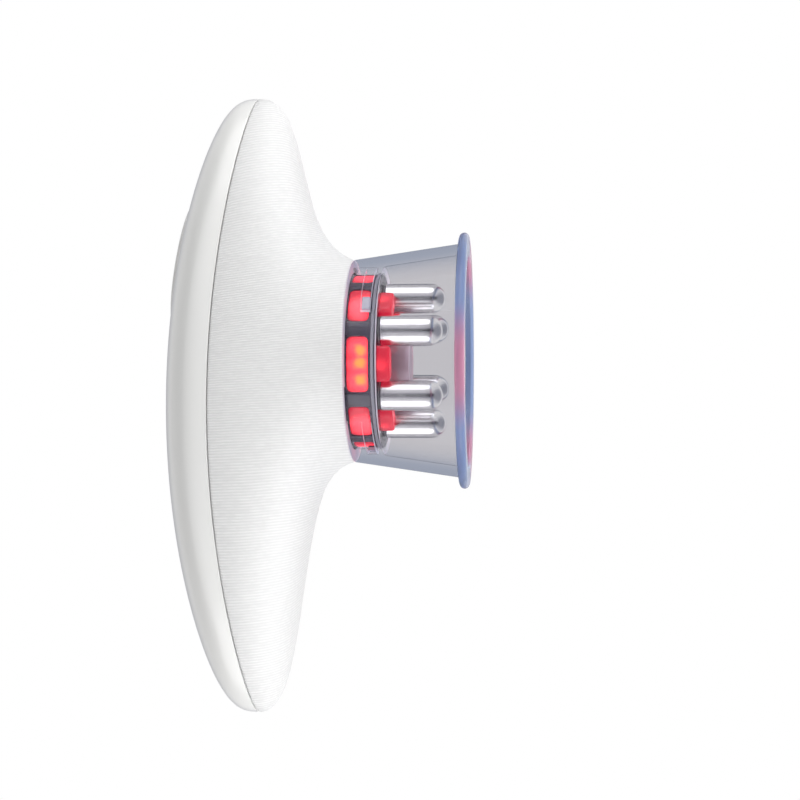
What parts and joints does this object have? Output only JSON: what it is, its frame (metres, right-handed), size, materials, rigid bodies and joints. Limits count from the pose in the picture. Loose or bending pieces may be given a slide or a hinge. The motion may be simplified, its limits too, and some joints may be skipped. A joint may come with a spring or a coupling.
{
  "type": "handheld body massager",
  "caption": "Crescent-handled suction massager with a twist-on clear cup round domed electrode rods and red lights, and push buttons on its back.",
  "frame": {"origin": "centre of the lip's flat face, on the cup's axis", "axes": "+Z from the lip up through the cup into the pod, +X along the pod towards its nose and the control panel, +Y to the right of the pod seen from its tail"},
  "size_m": [0.1822, 0.0752, 0.0869],
  "materials": {
    "gloss_white_shell": "gloss",
    "ribbed_white_shell": "fine ribbed satin",
    "panel_white": "gloss",
    "button_silver": "satin metallic",
    "button_white": "satin",
    "light_pipe": "clear",
    "board_green": "solder mask",
    "steel": "plain",
    "inner_black": "moulded",
    "cell_blue": "shrink sleeve",
    "socket_steel": "plain",
    "pump_ivory": "moulded",
    "motor_can": "plated",
    "hose_silicone": "translucent silicone",
    "brass": "turned",
    "base_dark": "satin",
    "red_window": "lit red",
    "board_white": "solder mask",
    "lamp_red": "lit red",
    "rod_steel": "mirror polish",
    "washer_black": "moulded",
    "port_clear": "clear",
    "filter_white": "sintered felt",
    "seal_grey": "silicone",
    "cup_clear": "clear violet tint",
    "lip_blue": "clear soft silicone"
  },
  "bodies": {
    "handset": {"back_shell": "gloss_white_shell", "front_shell": "ribbed_white_shell", "control_panel": "panel_white", "status_lights": "light_pipe", "button_board": "board_green", "board_spacers": "steel", "main_board": "board_green", "board_screws": "steel", "inner_frame": "inner_black", "battery": "cell_blue", "battery_cradle": "inner_black", "charging_board": "board_green", "charging_socket": "socket_steel", "pump_head": "pump_ivory", "pump_motor": "motor_can", "suction_hose": "hose_silicone", "release_valve": "inner_black", "vibration_motor": "motor_can", "motor_clip": "inner_black", "head_base": "base_dark", "base_screws": "steel", "head_plate": "base_dark", "light_window_ring": "red_window", "led_board": "board_white", "leds": "lamp_red", "electrode_washers": "washer_black", "electrode_nuts": "brass", "suction_port": "port_clear", "port_filter": "filter_white", "cup_seal": "seal_grey", "led_lens_1": "red_window", "electrode_1": "rod_steel", "led_lens_2": "red_window", "electrode_2": "rod_steel", "led_lens_3": "red_window", "electrode_3": "rod_steel", "led_lens_4": "red_window", "electrode_4": "rod_steel", "led_lens_5": "red_window", "electrode_5": "rod_steel", "led_lens_6": "red_window", "electrode_6": "rod_steel"},
    "cup": {"suction_cup": "cup_clear", "cup_lip": "lip_blue"},
    "power_key": {"power_button": "button_silver"},
    "level_key": {"level_button": "button_white"},
    "heat_key": {"heat_button": "button_white"},
    "weight": {"eccentric_weight": "brass"}
  },
  "joints": [
    {"name": "cup_twist", "type": "hinge", "parent": "handset", "child": "cup", "pos_m": [0, 0, 0.03], "axis": [0, 0, 1], "range_deg": [-46, 0]},
    {"name": "power_press", "type": "slide", "parent": "handset", "child": "power_key", "axis": [-0.1736, 0, -0.9848], "range_m": [0, 0.0005], "stiffness_N_per_m": 1500, "springref_m": -0.0002},
    {"name": "level_press", "type": "slide", "parent": "handset", "child": "level_key", "axis": [-0.1245, 0, -0.9922], "range_m": [0, 0.0005], "stiffness_N_per_m": 1500, "springref_m": -0.0002},
    {"name": "heat_press", "type": "slide", "parent": "handset", "child": "heat_key", "axis": [-0.081, 0, -0.9967], "range_m": [0, 0.0005], "stiffness_N_per_m": 1500, "springref_m": -0.0002},
    {"name": "weight_spin", "type": "hinge", "parent": "handset", "child": "weight", "pos_m": [0.0638, 0, 0.062], "axis": [1, 0, 0], "continuous": true}
  ]
}
